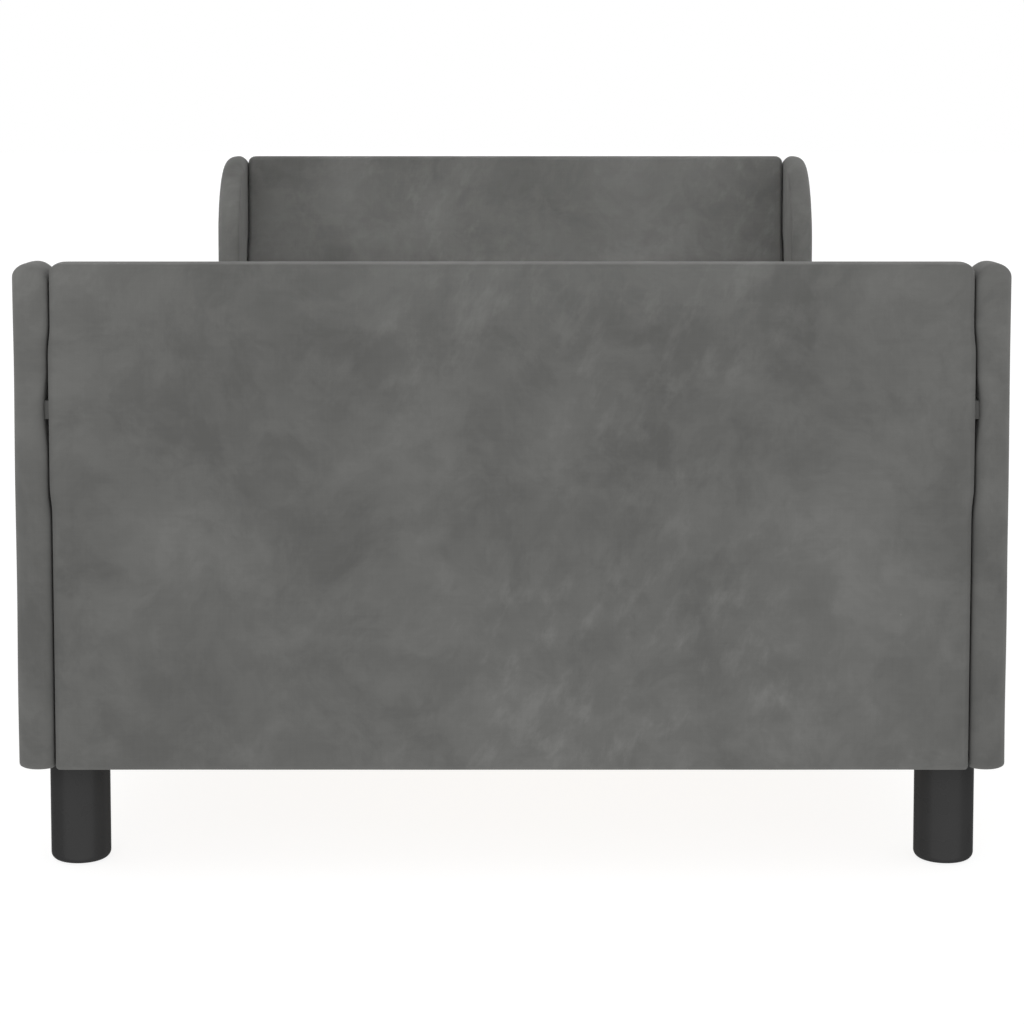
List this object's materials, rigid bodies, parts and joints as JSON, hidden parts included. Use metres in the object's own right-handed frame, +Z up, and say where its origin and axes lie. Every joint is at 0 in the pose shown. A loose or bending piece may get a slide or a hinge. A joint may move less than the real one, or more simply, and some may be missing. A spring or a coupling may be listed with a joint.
{
  "type": "toddler bed",
  "caption": "Upholstered toddler bed with padded head and foot boards between rounded wings, padded side rails, a slatted base, a foam mattress and short round legs.",
  "frame": {"origin": "on the floor, under the middle of the bed", "axes": "+Y towards the headboard, +X to the right of someone looking from the foot of the bed, +Z up"},
  "size_m": [0.778, 1.5, 0.54],
  "materials": {
    "velvet": "matte",
    "plywood": "matte",
    "frame_timber": "matte",
    "slat_timber": "satin",
    "leg_plastic": "satin",
    "zinc_steel": "satin",
    "plate_steel": "satin",
    "bracket_plastic": "matte",
    "mattress_cloth": "matte",
    "mattress_foam": "matte"
  },
  "bodies": {
    "bed": {"board_bolts": "zinc_steel", "footboard_bottom_rail": "frame_timber", "footboard_corner_block_left": "frame_timber", "footboard_corner_block_right": "frame_timber", "footboard_inner_ply": "plywood", "footboard_leg_left": "leg_plastic", "footboard_leg_right": "leg_plastic", "footboard_outer_ply": "plywood", "footboard_stile_left": "frame_timber", "footboard_stile_right": "frame_timber", "footboard_top_rail": "frame_timber", "footboard_upholstery": "velvet", "footboard_wing_core_left": "plywood", "footboard_wing_core_right": "plywood", "footboard_wing_upholstery_left": "velvet", "footboard_wing_upholstery_right": "velvet", "headboard_bottom_rail": "frame_timber", "headboard_corner_block_left": "frame_timber", "headboard_corner_block_right": "frame_timber", "headboard_inner_ply": "plywood", "headboard_leg_left": "leg_plastic", "headboard_leg_right": "leg_plastic", "headboard_outer_ply": "plywood", "headboard_stile_left": "frame_timber", "headboard_stile_right": "frame_timber", "headboard_top_rail": "frame_timber", "headboard_upholstery": "velvet", "headboard_wing_core_left": "plywood", "headboard_wing_core_right": "plywood", "headboard_wing_upholstery_left": "velvet", "headboard_wing_upholstery_right": "velvet", "ledger_screws": "zinc_steel", "leg_studs": "zinc_steel", "plate_screws": "zinc_steel", "rail_plates": "plate_steel", "side_rail_board_left": "plywood", "side_rail_board_right": "plywood", "side_rail_upholstery_left": "velvet", "side_rail_upholstery_right": "velvet", "slat_01": "slat_timber", "slat_02": "slat_timber", "slat_03": "slat_timber", "slat_04": "slat_timber", "slat_05": "slat_timber", "slat_06": "slat_timber", "slat_07": "slat_timber", "slat_08": "slat_timber", "slat_09": "slat_timber", "slat_10": "slat_timber", "slat_11": "slat_timber", "slat_12": "slat_timber", "slat_ledger_left": "frame_timber", "slat_ledger_right": "frame_timber", "slat_screws": "zinc_steel", "tee_nuts": "zinc_steel", "wing_bolts": "zinc_steel", "wing_brackets": "bracket_plastic"},
    "mattress": {"mattress_core": "mattress_foam", "mattress_cover": "mattress_cloth"}
  },
  "joints": [
    {"name": "mattress_lift", "type": "slide", "parent": "bed", "child": "mattress", "axis": [0, 0, 1], "range_m": [0, 0.38]}
  ]
}
